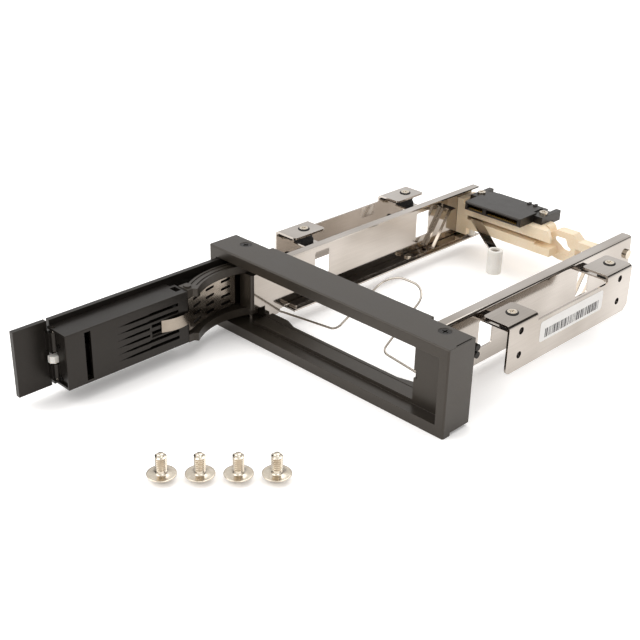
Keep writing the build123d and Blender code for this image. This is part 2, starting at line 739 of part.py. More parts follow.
with BuildPart() as connector_screws:
    for screw_side in (-1, 1):
        screw_x = connector_x + screw_side * connector_screw_span / 2
        seat = connector_top - 0.8
        rod(screw_x, connector_screw_y, upper_beam_bottom + 1.5, seat, connector_screw_r)
        rod(screw_x, connector_screw_y, seat, seat + 1.2, connector_head_r)
        with BuildSketch(Plane.XY.offset(seat + 0.7)) as cross:
            with Locations((screw_x, connector_screw_y)):
                Rectangle(2.6, 0.6)
                Rectangle(0.6, 2.6)
        extrude(cross.sketch, amount=1, mode=Mode.SUBTRACT)
keep(connector_screws.part, "connector_screws")

# Ejector lever in the crossbar's slot, with its crank shaft and nylon bumper
lever_plane = Plane(
    origin=(lever_x, lever_y, 0),
    x_dir=(cos(radians(lever_rest_angle)), sin(radians(lever_rest_angle)), 0), z_dir=(0, 0, 1))
lever_top = lever_bottom + lever_sheet
with BuildPart() as ejector_lever:
    with BuildSketch(lever_plane.offset(lever_bottom)):
        Circle(lever_width / 2 + 0.4)
        with BuildLine():
            Polyline(
                (0, -lever_width / 2 - 0.2), (lever_length - 2, -lever_width / 2 + 0.4),
                (lever_length - 2, lever_width / 2 - 0.4), (0, lever_width / 2 + 0.2), close=True)
        make_face()
        with Locations((lever_length - 1.2, 0)):
            Circle(lever_width / 2 - 0.5)
        Circle(shaft_r, mode=Mode.SUBTRACT)
        with Locations((lever_length, 0)):
            Circle(bumper_pin_r, mode=Mode.SUBTRACT)
    extrude(amount=lever_sheet)
keep(ejector_lever.part, "ejector_lever")

slide_level = flange_level + face_gap
slide_top = slide_level + slide_sheet
crank_level = slide_top + face_gap
crank_angle = 180 - lever_swing / 2
crank_plane = Plane(
    origin=(lever_x, lever_y, 0),
    x_dir=(cos(radians(crank_angle)), sin(radians(crank_angle)), 0), z_dir=(0, 0, 1))
with BuildPart() as ejector_crank:
    rod(0, 0, crank_level, shaft_top, shaft_r, base=crank_plane)
    with BuildSketch(crank_plane.offset(crank_level)):
        with Locations((crank_radius / 2, 0)):
            Rectangle(crank_radius, 2 * crank_pin_r + 1)
        with Locations((crank_radius, 0)):
            Circle(crank_pin_r + 0.5)
    extrude(amount=crank_sheet)
    rod(crank_radius, 0, slide_level, crank_level, crank_pin_r, base=crank_plane)
keep(ejector_crank.part, "ejector_crank")

with BuildPart() as nylon_bumper:
    rod(lever_length, 0, bumper_low, bumper_high, bumper_r, base=lever_plane)
    fillet(nylon_bumper.edges().filter_by(GeomType.CIRCLE), 0.5)
    rod(lever_length, 0, bumper_low - 1, bumper_high + 1, bumper_pin_r, base=lever_plane,
        mode=Mode.SUBTRACT)
    slab(lever_length - 2 * bumper_r, lever_length + lever_width / 2, -lever_width / 2, lever_width / 2,
         lever_bottom, lever_top, base=lever_plane, mode=Mode.SUBTRACT)
    rod(lever_length, 0, bumper_high - 1.2, bumper_high + 1, bumper_pin_r + 1.2, base=lever_plane,
        mode=Mode.SUBTRACT)
keep(nylon_bumper.part, "nylon_bumper")

with BuildPart() as bumper_pin:
    rod(lever_length, 0, bumper_low + 1, bumper_high - 1.6, bumper_pin_r, base=lever_plane)
keep(bumper_pin.part, "bumper_pin")

# Slide link and the two shoulder rivets that guide it
crank_pin_y = lever_y + crank_radius * sin(radians(crank_angle))
crank_pin_x = lever_x + crank_radius * cos(radians(crank_angle))
with BuildPart() as slide_link:
    with BuildSketch(Plane.XY.offset(slide_level)):
        with Locations((slide_x, (slide_front + crank_pin_y + 2.6) / 2)):
            RectangleRounded(slide_width, crank_pin_y + 2.6 - slide_front, 1.0)
        for rivet_y in rivet_places:
            with Locations((slide_x, rivet_y + slide_travel / 2)):
                SlotOverall(slide_travel + 2 * rivet_r + 0.6, 2 * rivet_r + 0.3, rotation=90,
                            mode=Mode.SUBTRACT)
        with Locations((crank_pin_x, crank_pin_y)):
            Circle(crank_pin_r + crank_pin_room, mode=Mode.SUBTRACT)
    extrude(amount=slide_sheet)
keep(slide_link.part, "slide_link")

with BuildPart() as slide_rivets:
    for rivet_y in rivet_places:
        rod(slide_x, rivet_y, rail_bottom, slide_top + face_gap, rivet_r)
        rod(slide_x, rivet_y, slide_top + face_gap, slide_top + face_gap + rivet_head_h, rivet_head_r)
keep(slide_rivets.part, "slide_rivets")

# Side springs: a pad on the rail's web, a shelf, and two slanted prongs
for side_name, side in (("left", -1), ("right", 1)):
    with BuildPart() as side_spring:
        pad_out, pad_in = side * rail_inner, side * (rail_inner - prong_sheet)
        slab(pad_out, pad_in, prong_top_y - 9, prong_top_y + 4, lance_top + part_gap,
             rail_top - sheet - 1.0)
        slab(pad_out, pad_in, prong_top_y, prong_top_y + 4, prong_top_z, lance_top + 2 * part_gap)
        shelf_in = side * (rail_inner - prong_reach)
        slab(pad_out, shelf_in, prong_top_y, prong_top_y + 4, prong_top_z, prong_top_z + prong_sheet)
        for prong_x in (rail_inner - prong_width / 2 - 0.2, rail_inner - prong_reach + prong_width / 2):
            with BuildSketch(Plane.YZ.offset(side * prong_x - prong_width / 2)) as strip:
                with BuildLine():
                    FilletPolyline(
                        (prong_top_y + 1, prong_top_z + prong_sheet / 2),
                        (prong_top_y - 0.5, prong_top_z + prong_sheet / 2),
                        (prong_foot_y, prong_foot_z + prong_sheet / 2),
                        (prong_foot_y - 2.2, prong_foot_z + 1.2), radius=0.8)
                trace(line_width=prong_sheet)
            extrude(strip.sketch, amount=prong_width)
    keep(side_spring.part, f"{side_name}_side_spring")

# Bent wire spring across the bay: arms in front, loop rising to the rear
wire_bend_y = 27.6
loop_end_y = 62.0
loop_end_z = wire_arm_z + wire_rise * (loop_end_y - wire_bend_y)
half_route = [
    (-wire_seat_x, wire_seat_y, wire_seat_z), (-wire_seat_x, bezel_depth + 1.6, wire_seat_z),
    (-rail_outer - 2, wire_low_y - 1.2, wire_low_z), (-rail_inner + 1, wire_low_y, wire_low_z),
    (-14.8, wire_bend_y, wire_arm_z), (-12.4, loop_end_y, loop_end_z),
]
route = half_route + [(-x, y, z) for x, y, z in reversed(half_route)]
with BuildPart() as wire_spring:
    with BuildLine() as wire_path:
        FilletPolyline(*route, radius=[1.2, 2.0, 1.0, 4.0, 10.5, 10.5, 4.0, 1.0, 2.0, 1.2])
    with BuildSketch(Plane(origin=route[0], z_dir=(0, 1, 0))):
        Circle(wire_r)
    sweep(path=wire_path.wires()[0])
keep(wire_spring.part, "wire_spring")

# Loose mounting screws, standing on their washer heads in front of the cage
with BuildPart() as mounting_screws:
    for place in range(4):
        screw_x = loose_first_x + place * loose_step_x
        screw_y = loose_first_y + place * loose_step_y
        rod(screw_x, screw_y, 0, screw_head_h, screw_head_r)
        rod(screw_x, screw_y, screw_head_h, screw_head_h + screw_flange_h, screw_flange_r)
        rod(screw_x, screw_y, screw_head_h + screw_flange_h,
            screw_head_h + screw_flange_h + screw_length, screw_thread_r)
    chamfer(mounting_screws.edges().filter_by(GeomType.CIRCLE).filter_by_position(
        Axis.Z, screw_head_h + screw_flange_h + screw_length - 0.01, 100), 0.5)
    fillet(mounting_screws.edges().filter_by(GeomType.CIRCLE).filter_by_position(
        Axis.Z, -0.01, 0.01), 0.8)
keep(mounting_screws.part, "mounting_screws")

# Door panel, flush in the bezel's opening when closed
with BuildPart() as door_panel:
    slab(panel_u0, panel_u1, door_front, panel_back, panel_z0, panel_z1, base=door)
    fillet(door_panel.edges().filter_by(lambda e: abs(e.center().X - pivot_x - door_front) < 0.01),
           0.5)
keep(door_panel.part, "door_panel")

# Planes across the block's near face and along the door from the hinge
across = Plane(origin=door.origin, x_dir=door.x_dir, z_dir=-door.y_dir)
along = Plane(origin=door.origin, x_dir=door.y_dir, z_dir=door.x_dir)
with BuildPart() as block_housing:
    slab(block_u0, block_u1, block_back, block_near, block_bottom, block_top, base=door)
    fillet(block_housing.edges().filter_by(
        lambda e: abs(e.center().X - pivot_x - block_near) < 0.01), 0.4)
    # hollow, open towards the panel, with walls round the latch's corner
    slab(block_u0 + block_wall, notch_u0 - block_wall, block_back - 1, block_near - block_wall,
         block_bottom + block_wall, block_top - block_wall, base=door, mode=Mode.SUBTRACT)
    slab(notch_u0 - block_wall - 1, end_face - block_wall, notch_v + block_wall,
         block_near - block_wall, block_bottom + block_wall, block_top - block_wall, base=door,
         mode=Mode.SUBTRACT)
    slab(notch_u0, block_u1 + 1, block_back - 1, notch_v, block_bottom + lug_thickness,
         block_top - lug_thickness, base=door, mode=Mode.SUBTRACT)
    # shallow recess in the free end
    slab(end_face, block_u1 + 1, block_back - 1, block_near - end_rim, block_bottom + end_rim,
         block_top - end_rim, base=door, mode=Mode.SUBTRACT)
    # guide round the latch
    guide_u0 = block_u1 - latch_tail - latch_travel
    guide_half = latch_half + latch_room
    slab(guide_u0 - block_wall, notch_u0, block_back, latch_v1 + latch_room + block_wall,
         latch_mid_z - guide_half - block_wall, latch_mid_z + guide_half + block_wall, base=door)
    slab(guide_u0 - 2 * latch_room, block_u1 + 1, latch_v0 - latch_room, latch_v1 + latch_room,
         latch_mid_z - guide_half, latch_mid_z + guide_half, base=door, mode=Mode.SUBTRACT)
    # bosses and bores of the end screws
    for screw_z in end_screw_levels:
        rod(end_screw_v, screw_z, end_face - end_screw_length - 1, end_face, end_screw_r + 0.5,
            base=along)
        rod(end_screw_v, screw_z, end_face - end_screw_length - 0.5, end_face + 1,
            end_screw_r + hole_clearance, base=along, mode=Mode.SUBTRACT)
    # bore of the handle's pin stubs through both lugs
    rod(handle_pin_u, handle_pin_v, block_bottom - 1, block_top + 1, handle_pin_r + hinge_running_gap,
        base=door, mode=Mode.SUBTRACT)
    # six grille slots: square at the hinge end, one step, then a curved taper to a point
    for row in range(6):
        slot_z = block_mid_z + (row - 2.5) * grille_pitch
        low, high = slot_z - grille_height / 2, slot_z + grille_height / 2
        with BuildSketch(across.offset(-block_near - 1)) as slot:
            with BuildLine():
                Polyline((grille_neck, low), (grille_end, low), (grille_end, high), (grille_step, high),
                         (grille_step + 1.2, high - 0.35))
                Spline((grille_step + 1.2, high - 0.35), (grille_neck, slot_z + 0.28),
                       (grille_tip, slot_z - 0.35), tangents=((1, 0), (1, -0.06)))
                Spline((grille_tip, slot_z - 0.35), (grille_neck + 4, low + 0.32), (grille_neck, low),
                       tangents=((-1, 0.03), (-1, 0)))
            make_face()
            if row in (2, 3):
                with Locations((grille_step, slot_z)):
                    Rectangle(grille_bar, 2 * grille_height, mode=Mode.SUBTRACT)
        extrude(slot.sketch, amount=block_wall + 2, mode=Mode.SUBTRACT)
    # recess that the leaf spring's tab dips into
    slab(grille_end, grille_step - grille_bar / 2, block_mid_z - leaf_tab_half - tab_room,
         block_mid_z + leaf_tab_half + tab_room, -block_near - 1, -block_near + tab_recess,
         base=across, mode=Mode.SUBTRACT)
    # upright window near the latch end
    slab(window_u, window_u + window_u_width, block_bottom + window_margin, block_top - window_margin,
         -block_near - 1, -block_near + block_wall + 1, base=across, mode=Mode.SUBTRACT)
    # two square cut-outs in the top wall at the hinge end
    slab(block_u0 - 1, block_u0 + 2.7, block_back - 1, block_back + 3.9,
         block_top - block_wall - 1, block_top + 1, base=door, mode=Mode.SUBTRACT)
    slab(block_u0 + 1.2, block_u0 + 4.3, block_back + 5.7, block_near - 3.2,
         block_top - block_wall - 1, block_top + 1, base=door, mode=Mode.SUBTRACT)
keep(block_housing.part, "block_housing")

# Two curved hinge arms, ribbed on top, that carry the block and the panel
arm_start = -180 + degrees(acos(arm_centre_u / arm_bulge))
arm_end_u = block_u0 - arm_foot_depth / 2
arm_end = -degrees(acos((arm_end_u - arm_centre_u) / arm_bulge))


def hinge_arm(level, rib_side):
    """An arc from the hinge pin's eye to a foot on the block's end, grooved along one face."""
    with BuildPart() as arm:
        with BuildSketch(door.offset(level)) as plan:
            with BuildLine():
                outer = CenterArc((arm_centre_u, arm_centre_v), arm_bulge + arm_width / 2,
                                  arm_start, arm_end - arm_start)
                inner = CenterArc((arm_centre_u, arm_centre_v), arm_bulge - arm_width / 2,
                                  arm_start, arm_end - arm_start)
                Line(outer @ 0, inner @ 0)
                Line(outer @ 1, inner @ 1)
            make_face()
            Circle(arm_eye_r)
            with Locations((block_u0 - arm_foot_depth / 2, (arm_foot_v + block_near) / 2)):
                Rectangle(arm_foot_depth, block_near - arm_foot_v)
            Circle(hinge_pin_r + hinge_running_gap, mode=Mode.SUBTRACT)
        extrude(plan.sketch, amount=arm_height)
        rib_level = level + arm_height - rib_depth if rib_side > 0 else level - 1
        for groove in (-1, 1):
            with BuildSketch(door.offset(rib_level)) as band:
                with BuildLine():
                    CenterArc((arm_centre_u, arm_centre_v), arm_bulge + groove * 2 * rib_width,
                              arm_start + 8, arm_end - arm_start - 14)
                trace(line_width=rib_width)
            extrude(band.sketch, amount=rib_depth + 1, mode=Mode.SUBTRACT)
        if rib_side > 0:
            rod(block_u0 - arm_foot_depth / 2, (arm_foot_v + block_near) / 2, level + arm_height,
                level + arm_height + 0.8, arm_boss_r, base=door)
    return arm.part


keep(hinge_arm(upper_arm_bottom, 1), "upper_hinge_arm")
keep(hinge_arm(arm_bottom, -1), "lower_hinge_arm")

with BuildPart() as hinge_pin:
    rod(0, 0, hinge_pin_bottom, hinge_pin_top, hinge_pin_r, base=door)
    chamfer(hinge_pin.edges().filter_by(GeomType.CIRCLE), 0.3)
keep(hinge_pin.part, "hinge_pin")

# Leaf spring: a perforated band between the arms, narrowing to a tab hooked into the block
with BuildPart() as leaf_spring:
    with BuildSketch(door.offset(leaf_bottom)) as band:
        with BuildLine():
            ThreePointArc(*leaf_path)
        trace(line_width=leaf_sheet)
    extrude(band.sketch, amount=leaf_top - leaf_bottom)
    with BuildSketch(door.offset(block_mid_z - leaf_tab_half)) as tab:
        with BuildLine():
            Spline(*leaf_tab_path)
        trace(line_width=leaf_sheet)
    extrude(tab.sketch, amount=2 * leaf_tab_half)
    for column_u in leaf_columns:
        for row in range(4):
            with BuildSketch(across.offset(-2 * block_near)) as hole:
                with Locations((column_u, leaf_first_row + row * leaf_row_pitch)):
                    SlotOverall(leaf_slot_length, leaf_slot_height)
            extrude(hole.sketch, amount=4 * block_near, mode=Mode.SUBTRACT)
keep(leaf_spring.part, "leaf_spring")

# Small screws in the block's free end
with BuildPart() as block_screws:
    for screw_z in end_screw_levels:
        rod(end_screw_v, screw_z, end_face - end_screw_length, end_face, end_screw_r, base=along)
        rod(end_screw_v, screw_z, end_face, end_face + end_screw_head_h, end_screw_head_r, base=along)
        with BuildSketch(along.offset(end_face + end_screw_head_h / 2)) as cross:
            with Locations((end_screw_v, screw_z)):
                Rectangle(1.5, 0.4)
                Rectangle(0.4, 1.5)
        extrude(cross.sketch, amount=1, mode=Mode.SUBTRACT)
keep(block_screws.part, "block_screws")

# Handle plate with two hubs on its pin stubs
with BuildPart() as door_handle:
    slab(handle_u0, handle_u1, door_front, panel_back, panel_z0, panel_z1, base=door)
    fillet(door_handle.edges().filter_by(lambda e: abs(e.center().X - pivot_x - door_front) < 0.01),
           0.5)
    for hub_low, hub_high in hub_levels:
        rod(handle_pin_u, handle_pin_v, hub_low, hub_high, handle_hub_r, base=door)
        slab(handle_pin_u, handle_u0 + 1.3, panel_back + part_gap, handle_pin_v + 0.6,
             hub_low, hub_high, base=door)
        slab(handle_u0, handle_u0 + 1.3, panel_back - 1, handle_pin_v + 0.6, hub_low, hub_high,
             base=door)
    rod(handle_pin_u, handle_pin_v, hub_levels[0][0] - 1, hub_levels[1][1] + 1,
        handle_pin_r + hinge_running_gap, base=door, mode=Mode.SUBTRACT)
keep(door_handle.part, "door_handle")

with BuildPart() as handle_pin:
    rod(handle_pin_u, handle_pin_v, block_bottom + 0.3, hub_levels[0][1], handle_pin_r, base=door)
    rod(handle_pin_u, handle_pin_v, hub_levels[1][0], block_top - 0.3, handle_pin_r, base=door)
keep(handle_pin.part, "handle_pin")

# Latch tongue, slanted on the side that meets the bezel first
with BuildPart() as latch_tongue:
    with BuildSketch(door.offset(latch_mid_z - latch_half)) as outline:
        with BuildLine():
            Polyline(
                (block_u1 - latch_tail, latch_v0), (block_u1 + latch_reach, latch_v0),
                (block_u1 + latch_reach, latch_v1 - latch_slope), (block_u1 + 0.5, latch_v1),
                (block_u1 - latch_tail, latch_v1), close=True)
        make_face()
    extrude(outline.sketch, amount=2 * latch_half)
keep(latch_tongue.part, "latch_tongue")
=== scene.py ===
import json
import math
import random
import bmesh
import bpy
from mathutils import Matrix, Vector


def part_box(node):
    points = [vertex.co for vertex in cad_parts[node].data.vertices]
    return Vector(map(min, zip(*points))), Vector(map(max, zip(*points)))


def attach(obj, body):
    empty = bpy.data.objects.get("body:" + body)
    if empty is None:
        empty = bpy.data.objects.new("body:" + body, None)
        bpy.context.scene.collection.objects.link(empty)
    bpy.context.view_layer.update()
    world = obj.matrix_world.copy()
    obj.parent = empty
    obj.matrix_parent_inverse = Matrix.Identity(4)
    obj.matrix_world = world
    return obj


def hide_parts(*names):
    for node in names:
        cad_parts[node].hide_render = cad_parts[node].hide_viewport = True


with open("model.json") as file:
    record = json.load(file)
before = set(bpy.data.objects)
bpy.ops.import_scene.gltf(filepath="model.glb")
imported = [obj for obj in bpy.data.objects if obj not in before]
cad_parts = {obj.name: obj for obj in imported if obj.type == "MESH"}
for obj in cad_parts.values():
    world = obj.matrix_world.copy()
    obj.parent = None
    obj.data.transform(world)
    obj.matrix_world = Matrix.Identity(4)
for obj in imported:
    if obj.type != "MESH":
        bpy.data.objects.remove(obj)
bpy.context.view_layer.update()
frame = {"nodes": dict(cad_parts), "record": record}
scene = bpy.context.scene
nodes = frame["nodes"]
mm = 0.001
print("stage: frame loaded,", len(nodes), "nodes")

# Camera, fitted to the bezel's corners and the side plates' holes
camera = {
    "place": (0.314529, -0.320281, 0.255259),
    "azimuth": 44.3535,
    "elevation": 26.8013,
    "roll": 1.2906,
    "lens": 63.621,
}


def makeCamera(values):
    azimuth, elevation, roll = (math.radians(values[k]) for k in ("azimuth", "elevation", "roll"))
    back = Vector((math.sin(azimuth) * math.cos(elevation), -math.cos(azimuth) * math.cos(elevation),
                   math.sin(elevation)))
    side = Vector((math.cos(azimuth), math.sin(azimuth), 0))
    up = back.cross(side)
    right = side * math.cos(roll) + up * math.sin(roll)
    top = up * math.cos(roll) - side * math.sin(roll)
    data = bpy.data.cameras.new("studioCamera")
    data.lens = values["lens"]
    data.sensor_width = 36
    data.clip_start = 0.02
    data.clip_end = 20
    item = bpy.data.objects.new("studioCamera", data)
    turn = Matrix((right, top, back)).transposed().to_4x4()
    item.matrix_world = Matrix.Translation(values["place"]) @ turn
    scene.collection.objects.link(item)
    scene.camera = item


makeCamera(camera)


def linear(code):
    # sRGB hex to a linear colour
    values = [int(code[i:i + 2], 16) / 255 for i in (1, 3, 5)]
    return tuple(v / 12.92 if v <= 0.04045 else ((v + 0.055) / 1.055) ** 2.4 for v in values) + (1,)


def addNode(tree, kind, settings=None, links=None):
    # one node with its settings and what feeds it
    node = tree.nodes.new(kind)
    for name, value in (settings or {}).items():
        if hasattr(node, str(name)):
            setattr(node, name, value)
        else:
            node.inputs[name].default_value = value
    for name, socket in (links or {}).items():
        tree.links.new(socket, node.inputs[name])
    return node


# the middle part of a noise, which is stretched over a finish's whole range
noiseRange = {"From Min": 0.3, "From Max": 0.7}


def surfaceMaterial(values):
    # one finish: a noise of the grain, mixed with broad clouds, drives colour, roughness and bump; on the
    # stainless sheet the clouds are painted reflection
    material = bpy.data.materials.new(values["name"])
    material.use_nodes = True
    tree = material.node_tree
    shader = tree.nodes["Principled BSDF"]
    shader.inputs["Metallic"].default_value = values.get("metallic", 0)
    if "ior" in values:
        shader.inputs["IOR"].default_value = values["ior"]
    for name, value in values.get("sockets", {}).items():
        shader.inputs[name].default_value = value
    place = addNode(tree, "ShaderNodeTexCoord")
    grain = addNode(tree, "ShaderNodeMapping",
                    {"Scale": [1 / (size * mm) for size in values["grainMm"]]},
                    {"Vector": place.outputs["Object"]})
    fine = addNode(tree, "ShaderNodeTexNoise", {"Scale": 1, "Detail": 3, "Roughness": 0.6},
                   {"Vector": grain.outputs["Vector"]})
    cloudy = addNode(tree, "ShaderNodeTexNoise",
                     {"Scale": 1 / (values["cloudMm"] * mm), "Detail": 2, "Roughness": 0.5},
                     {"Vector": place.outputs["Object"]})
    dark, light = values["colours"]
    both = addNode(tree, "ShaderNodeMix", {"data_type": "FLOAT", 0: values.get("cloudShare", 0.5)},
                   {2: fine.outputs["Fac"], 3: cloudy.outputs["Fac"]})
    ramp = addNode(tree, "ShaderNodeMapRange", noiseRange, {"Value": both.outputs[0]})
    tint = addNode(tree, "ShaderNodeMix", {"data_type": "RGBA", 6: linear(dark), 7: linear(light)},
                   {0: ramp.outputs["Result"]})
    tree.links.new(tint.outputs[2], shader.inputs["Base Color"])
    low, high = values["roughness"]
    rough = addNode(tree, "ShaderNodeMapRange", {**noiseRange, "To Min": low, "To Max": high},
                    {"Value": both.outputs[0]})
    tree.links.new(rough.outputs["Result"], shader.inputs["Roughness"])
    bump = addNode(tree, "ShaderNodeBump",
                   {"Strength": values["bump"], "Distance": values["bumpMm"] * mm},
                   {"Height": fine.outputs["Fac"]})
    if values.get("edgeMm"):
        edge = addNode(tree, "ShaderNodeBevel", {"samples": 4, "Radius": values["edgeMm"] * mm})
        tree.links.new(edge.outputs["Normal"], bump.inputs["Normal"])
    tree.links.new(bump.outputs["Normal"], shader.inputs["Normal"])
    return material


# ABS, injection moulded in a spark-eroded tool: a fine satin grain, drawn at 0.45 mm so that it shows
blackAbs = surfaceMaterial({
    "name": "mouldedBlackAbs", "ior": 1.52, "colours": ("#211d18", "#2c2720"),
    "sockets": {"Specular Tint": (1, 0.91, 0.83, 1)},
    "roughness": (0.3, 0.42), "grainMm": (0.45, 0.45, 0.45), "cloudMm": 14, "bump": 0.25,
    "bumpMm": 0.05, "edgeMm": 0.25,
})
# ABS of the block, panel and handle: the same mould finish, a little smoother; its darker base colour and
# lowered sheen are painted shade
blockAbsPaintedShade = surfaceMaterial({
    "name": "mouldedBlackAbsPaintedShade", "ior": 1.52, "colours": ("#100e0c", "#181512"),
    "sockets": {"Specular Tint": (1, 0.91, 0.83, 1), "Specular IOR Level": 0.32},
    "roughness": (0.28, 0.4), "grainMm": (0.4, 0.4, 0.4), "cloudMm": 9, "bump": 0.2,
    "bumpMm": 0.04, "edgeMm": 0.2,
})
# Stainless sheet, cold rolled and bright annealed: near a mirror; its darkened base colour and large soft
# cloudy dark patches are painted reflection of a darker surround
sheetSteelPaintedReflection = surfaceMaterial({
    "name": "stainlessPaintedReflection", "metallic": 1, "colours": ("#a29a91", "#c5beb7"),
    "roughness": (0.05, 0.12), "grainMm": (0.6, 20, 0.6), "cloudMm": 45, "cloudShare": 0.85,
    "bump": 0.02, "bumpMm": 0.02, "edgeMm": 0.12,
})
# Spring steel strip, polished
springSteel = surfaceMaterial({
    "name": "polishedSpringSteel", "metallic": 1, "colours": ("#857b6f", "#a69c90"),
    "roughness": (0.12, 0.2), "grainMm": (6, 6, 6), "cloudMm": 25, "cloudShare": 0.7,
    "bump": 0.0, "bumpMm": 0.02,
})
# Acetal, moulded: warm ivory with a waxy sheen and a little light inside
ivoryAcetal = surfaceMaterial({
    "name": "mouldedIvoryAcetal", "ior": 1.48, "colours": ("#f1d9b4", "#f8e8d0"),
    "roughness": (0.34, 0.44), "grainMm": (0.8, 0.8, 0.8), "cloudMm": 16, "bump": 0.1,
    "bumpMm": 0.04, "edgeMm": 0.3,
    "sockets": {"Subsurface Weight": 0.15, "Subsurface Radius": (0.004, 0.0025, 0.0015)},
})
# Nylon, moulded, uncoloured
whiteNylon = surfaceMaterial({
    "name": "mouldedWhiteNylon", "ior": 1.53, "colours": ("#e4e0d8", "#efece6"),
    "roughness": (0.36, 0.46), "grainMm": (0.6, 0.6, 0.6), "cloudMm": 6, "bump": 0.1,
    "bumpMm": 0.03, "edgeMm": 0.3,
    "sockets": {"Subsurface Weight": 0.2, "Subsurface Radius": (0.003, 0.0025, 0.002)},
})
# Rubber, moulded: matt black with a dusty bloom
blackRubber = surfaceMaterial({
    "name": "mouldedBlackRubber", "ior": 1.5, "colours": ("#141312", "#1e1c1b"),
    "roughness": (0.7, 0.85), "grainMm": (0.5, 0.5, 0.5), "cloudMm": 4, "bump": 0.2, "bumpMm": 0.05,
})
# Steel, nickel plated: warm bright metal, slightly mottled
nickelPlate = surfaceMaterial({
    "name": "nickelPlatedSteel", "metallic": 1, "colours": ("#bfb4a4", "#dcd2c2"),
    "roughness": (0.18, 0.3), "grainMm": (0.5, 0.5, 0.5), "cloudMm": 3, "bump": 0.06,
    "bumpMm": 0.02, "edgeMm": 0.1,
})
# Steel, black oxide: near black with a low metallic gloss
blackOxide = surfaceMaterial({
    "name": "blackOxideSteel", "metallic": 1, "colours": ("#2b2927", "#3a3735"),
    "roughness": (0.3, 0.42), "grainMm": (0.4, 0.4, 0.4), "cloudMm": 2, "bump": 0.06,
    "bumpMm": 0.02, "edgeMm": 0.1,
})
# Glass-filled polyester, moulded: connector black with faint flow streaks
connectorBlack = surfaceMaterial({
    "name": "glassFilledPolyester", "ior": 1.57, "colours": ("#131110", "#1d1b19"),
    "sockets": {"Specular Tint": (1, 0.91, 0.83, 1), "Specular IOR Level": 0.4},
    "roughness": (0.3, 0.42), "grainMm": (1.2, 0.4, 0.4), "cloudMm": 7, "bump": 0.15,
    "bumpMm": 0.03, "edgeMm": 0.15,
})
# Gold over nickel on stamped contacts
goldContact = surfaceMaterial({
    "name": "goldPlatedContact", "metallic": 1, "colours": ("#d9a441", "#ebc067"),
    "roughness": (0.18, 0.26), "grainMm": (0.3, 0.3, 0.3), "cloudMm": 2, "bump": 0.03, "bumpMm": 0.01,
})
# Music wire, bright drawn: die lines along it are too fine to see
brightWire = surfaceMaterial({
    "name": "brightDrawnWire", "metallic": 1, "colours": ("#958c81", "#b3aba1"),
    "roughness": (0.12, 0.16), "grainMm": (60, 60, 60), "cloudMm": 60, "bump": 0.0, "bumpMm": 0.01,
})
# Coated label paper, matt white
labelPaper = surfaceMaterial({
    "name": "coatedLabelPaper", "ior": 1.5, "colours": ("#eceae7", "#f4f2f0"),
    "roughness": (0.5, 0.6), "grainMm": (0.3, 0.3, 0.3), "cloudMm": 6, "bump": 0.05, "bumpMm": 0.01,
})
# Thermal-transfer ink on the label
labelInk = surfaceMaterial({
    "name": "transferInk", "ior": 1.5, "colours": ("#2c2a2a", "#3b3838"),
    "roughness": (0.45, 0.6), "grainMm": (0.25, 0.25, 0.25), "cloudMm": 2, "bump": 0.02, "bumpMm": 0.01,
})

finishes = {
    "black_abs": blackAbs, "stainless_sheet": sheetSteelPaintedReflection, "spring_steel": springSteel,
    "ivory_acetal": ivoryAcetal, "white_nylon": whiteNylon, "black_rubber": blackRubber,
    "nickel_screw": nickelPlate, "black_screw": blackOxide, "black_connector": connectorBlack,
    "gold_contact": goldContact, "wire_steel": brightWire,
}
# the block, panel and handle take the darker ABS copy, whose colour and sheen hold painted shade
blockNodes = ("block_housing", "door_handle", "door_panel")
slotOf = {part["node"]: part["material_slot"] for part in frame["record"]["subparts"]}
for name, item in nodes.items():
    item.data.materials.clear()
    item.data.materials.append(blockAbsPaintedShade if name in blockNodes else finishes[slotOf[name]])
print("stage: finishes on", len(nodes), "nodes")


def addPiece(name, bm, material, body):
    # a finished mesh at the origin, riding on its body
    bmesh.ops.remove_doubles(bm, verts=bm.verts, dist=0.000001)
    bmesh.ops.recalc_face_normals(bm, faces=bm.faces)
    mesh = bpy.data.meshes.new(name)
    bm.to_mesh(mesh)
    bm.free()
    item = bpy.data.objects.new(name, mesh)
    scene.collection.objects.link(item)
    mesh.materials.append(material)
    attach(item, body)
    return item


# Loose mounting screws: rolled thread, thin washer flange and a domed head, standing heads down
looseScrews = {
    "first": (16.8, -101.8), "step": (10.2, 10.9), "count": 4,
    "threadRadius": 2.35, "rootRadius": 1.6, "pitch": 0.9, "threadFrom": 4.0, "threadTo": 11.8,
    "segments": 40, "tipHeight": 12.2, "tipTaper": 0.45, "toothSink": 0.05, "crest": (0.45, 0.55),
    # radius and height of the turned outline, from the head's pole up to the flange and shank
    "outline": ((0.0, 0.0), (1.6, 0.06), (2.7, 0.38), (3.5, 0.98), (3.95, 1.75), (4.1, 2.45),
                (5.6, 2.62), (5.95, 2.8), (6.0, 3.0), (5.9, 3.16), (5.5, 3.2), (2.5, 3.12),
                (2.05, 3.4), (1.8, 4.0)),
}


